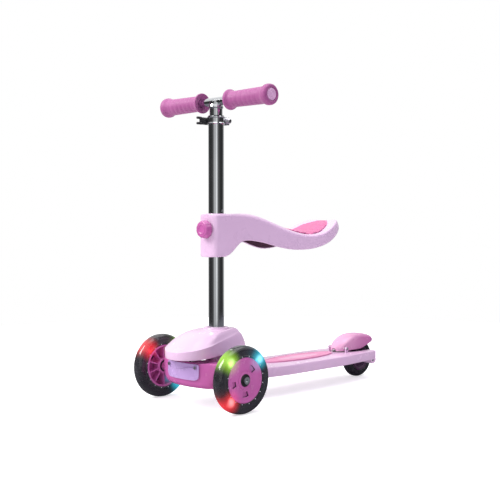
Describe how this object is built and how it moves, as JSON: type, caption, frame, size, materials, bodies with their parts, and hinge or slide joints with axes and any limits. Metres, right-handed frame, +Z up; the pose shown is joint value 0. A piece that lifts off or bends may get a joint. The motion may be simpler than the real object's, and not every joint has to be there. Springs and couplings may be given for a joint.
{
  "type": "kick scooter",
  "caption": "Three-wheeled toddler kick scooter with lean steering, height-adjustable handlebar, sliding saddle seat, lighted front wheels and a foot brake.",
  "frame": {"origin": "on the ground, under the middle of the overall length and width", "axes": "+Z up along the column, the front faces -Y, +X is the rider's left"},
  "size_m": [0.292, 0.5508, 0.5732],
  "materials": {
    "light_pink": "moulded, satin gloss",
    "end_plug": "moulded, gloss",
    "magenta": "moulded, gloss",
    "fender": "moulded, gloss",
    "foam": "soft foam, matt",
    "foot_pad": "moulded grip rubber",
    "seat_pad": "soft moulded pad, fine grain",
    "plate": "moulded, satin",
    "chrome": "polished plating",
    "steel": "zinc plated",
    "clear_tyre": "smoky clear cast polyurethane",
    "black_tyre": "black polyurethane",
    "black_plastic": "moulded nylon",
    "bearing": "rubber sealed steel bearing",
    "dark_hub": "moulded, satin",
    "lights": "clear lamp capsules",
    "magnet": "sintered magnet",
    "elastomer": "polyurethane elastomer"
  },
  "bodies": {
    "root": {"deck_shell": "light_pink", "deck_pad": "foot_pad", "front_cover": "light_pink", "cover_screws": "steel", "column_tube": "chrome", "column_bolt": "steel", "column_nut": "steel", "column_bushing": "black_plastic", "collar_clamp": "chrome", "clamp_rod": "steel", "clamp_nut": "chrome", "kingpin": "steel", "kingpin_nut": "steel", "steering_bushings": "elastomer", "rear_axle": "chrome", "rear_axle_nut": "steel", "rear_spacers": "steel", "brake_pin": "steel", "brake_spring": "steel"},
    "truck": {"truck_housing": "magenta", "truck_plate": "plate", "truck_screws": "steel", "left_axle": "chrome", "right_axle": "chrome", "axle_nuts": "steel", "wheel_spacers": "steel", "wheel_magnets": "magnet"},
    "left_wheel": {"left_hub": "magenta", "left_tyre": "clear_tyre", "left_bearings": "bearing", "left_lights": "lights"},
    "right_wheel": {"right_hub": "magenta", "right_tyre": "clear_tyre", "right_bearings": "bearing", "right_lights": "lights"},
    "rear_wheel": {"rear_hub": "dark_hub", "rear_tyre": "black_tyre", "rear_bearings": "bearing"},
    "brake": {"brake_fender": "fender"},
    "handlebar": {"stem_tube": "chrome", "crossbar": "chrome", "left_grip": "foam", "right_grip": "foam", "left_end_plug": "end_plug", "right_end_plug": "end_plug", "snap_spring": "steel"},
    "button": {"snap_button": "chrome"},
    "lever": {"clamp_lever": "black_plastic", "clamp_cam_pin": "steel"},
    "seat": {"seat_shell": "light_pink", "seat_pad": "seat_pad", "seat_sleeve": "black_plastic", "seat_pad_screws": "steel", "seat_lock_bush": "steel", "seat_lock_spring": "steel"},
    "lock_pin": {"seat_lock_pin": "steel"},
    "knob": {"seat_knob": "magenta"}
  },
  "joints": [
    {"name": "truck_steer", "type": "hinge", "parent": "root", "child": "truck", "pos_m": [0, -0.211, 0.062], "axis": [0, -0.7071, 0.7071], "range_deg": [-9, 9], "stiffness_Nm_per_rad": 80},
    {"name": "left_wheel_spin", "type": "hinge", "parent": "truck", "child": "left_wheel", "pos_m": [0.112, -0.211, 0.06], "axis": [1, 0, 0], "continuous": true},
    {"name": "right_wheel_spin", "type": "hinge", "parent": "truck", "child": "right_wheel", "pos_m": [-0.112, -0.211, 0.06], "axis": [1, 0, 0], "continuous": true},
    {"name": "rear_wheel_spin", "type": "hinge", "parent": "root", "child": "rear_wheel", "pos_m": [0, 0.236, 0.04], "axis": [1, 0, 0], "continuous": true},
    {"name": "brake_press", "type": "hinge", "parent": "root", "child": "brake", "pos_m": [0, 0.175, 0.067], "axis": [-1, 0, 0], "range_deg": [0, 7], "stiffness_Nm_per_rad": 2, "springref_deg": -8.59},
    {"name": "bar_height", "type": "slide", "parent": "root", "child": "handlebar", "axis": [0, 0, 1], "range_m": [0, 0.1]},
    {"name": "button_press", "type": "slide", "parent": "handlebar", "child": "button", "axis": [-1, 0, 0], "range_m": [0, 0.002], "stiffness_N_per_m": 600, "springref_m": -0.002},
    {"name": "lever_swing", "type": "hinge", "parent": "root", "child": "lever", "pos_m": [-0.016, -0.1466, 0.51975], "axis": [0, 0, -1], "range_deg": [0, 150]},
    {"name": "seat_height", "type": "slide", "parent": "root", "child": "seat", "axis": [0, 0, 1], "range_m": [-0.09, 0.06]},
    {"name": "lock_pull", "type": "slide", "parent": "seat", "child": "lock_pin", "axis": [0, -1, 0], "range_m": [0, 0.005], "stiffness_N_per_m": 800, "springref_m": -0.003},
    {"name": "knob_turn", "type": "hinge", "parent": "lock_pin", "child": "knob", "pos_m": [0, -0.2, 0.32], "axis": [0, -1, 0], "range_deg": [0, 180]}
  ]
}
